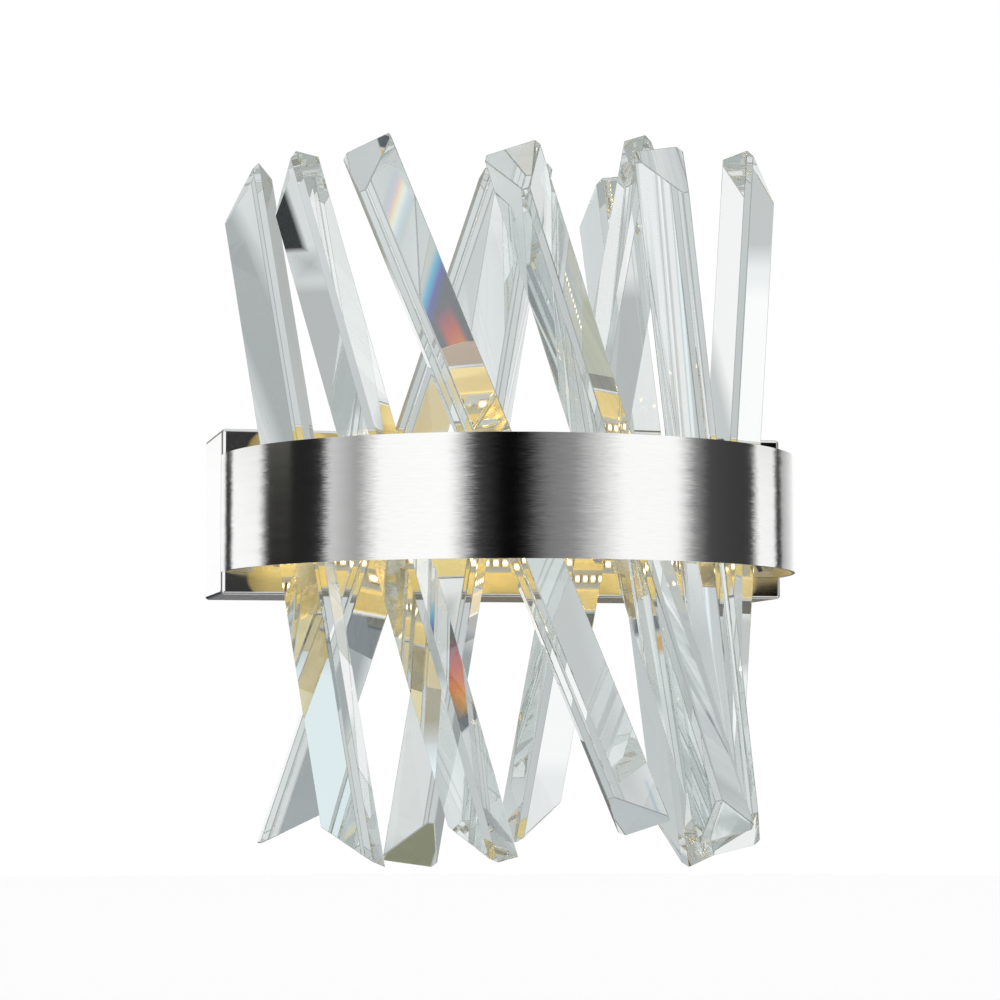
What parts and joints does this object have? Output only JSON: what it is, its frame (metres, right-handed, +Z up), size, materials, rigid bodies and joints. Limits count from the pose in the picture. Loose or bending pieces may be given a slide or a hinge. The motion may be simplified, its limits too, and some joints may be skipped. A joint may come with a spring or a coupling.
{
  "type": "crystal wall sconce",
  "caption": "Wall light with a flat back box, a half-oval brushed metal band and long crossed glass prisms lit from inside the band.",
  "frame": {"origin": "on the wall plane, at the middle of the wall bracket's two fixing slots", "axes": "+X to the right of someone who faces the light, +Y into the wall, +Z up"},
  "size_m": [0.2513, 0.1775, 0.3135],
  "materials": {
    "brushed_nickel": "bright nickel with a fine level brushed grain",
    "zinc_sheet": "bright zinc-plated sheet",
    "screw_steel": "zinc-plated, slightly dull",
    "post_brass": "plain turned brass",
    "pin_steel": "polished",
    "crystal": "polished optical glass with ground bevels",
    "clear_nylon": "translucent, satin",
    "lamp_board": "white solder mask",
    "lamp_phosphor": "warm white lamps, yellow when unlit",
    "driver_case": "white, fine grain",
    "circuit_board": "green solder mask",
    "driver_parts": "dark moulded parts",
    "terminal_plastic": "natural nylon",
    "black_rubber": "soft black rubber",
    "white_lead": "silicone insulation",
    "grey_lead": "smooth insulation",
    "earth_lead": "green insulation"
  },
  "bodies": {
    "root": {"back_box": "brushed_nickel", "band_nuts": "screw_steel", "band_screws": "screw_steel", "cable_bushing": "black_rubber", "carrier_nuts": "screw_steel", "carrier_screws": "screw_steel", "clamp_screws": "screw_steel", "crystal_front_1": "crystal", "crystal_front_2": "crystal", "crystal_front_3": "crystal", "crystal_front_4": "crystal", "crystal_front_5": "crystal", "crystal_pins": "pin_steel", "crystal_rear_1": "crystal", "crystal_rear_2": "crystal", "crystal_rear_3": "crystal", "crystal_rear_4": "crystal", "crystal_rear_5": "crystal", "driver_board": "circuit_board", "driver_cover": "driver_case", "driver_parts": "driver_parts", "driver_screws": "screw_steel", "driver_tray": "driver_case", "earth_lead": "earth_lead", "earth_screws": "post_brass", "earth_tags": "post_brass", "front_band": "brushed_nickel", "lamp_leads": "white_lead", "lock_screws": "screw_steel", "lower_carrier": "zinc_sheet", "lower_lamp_board": "lamp_board", "lower_lamps": "lamp_phosphor", "pin_sleeves": "clear_nylon", "post_screws": "screw_steel", "spacer_posts": "post_brass", "supply_leads": "grey_lead", "terminal_block": "terminal_plastic", "terminal_screws": "screw_steel", "upper_carrier": "zinc_sheet", "upper_lamp_board": "lamp_board", "upper_lamps": "lamp_phosphor", "wall_bracket": "zinc_sheet", "wire_bushings": "black_rubber"}
  },
  "joints": []
}
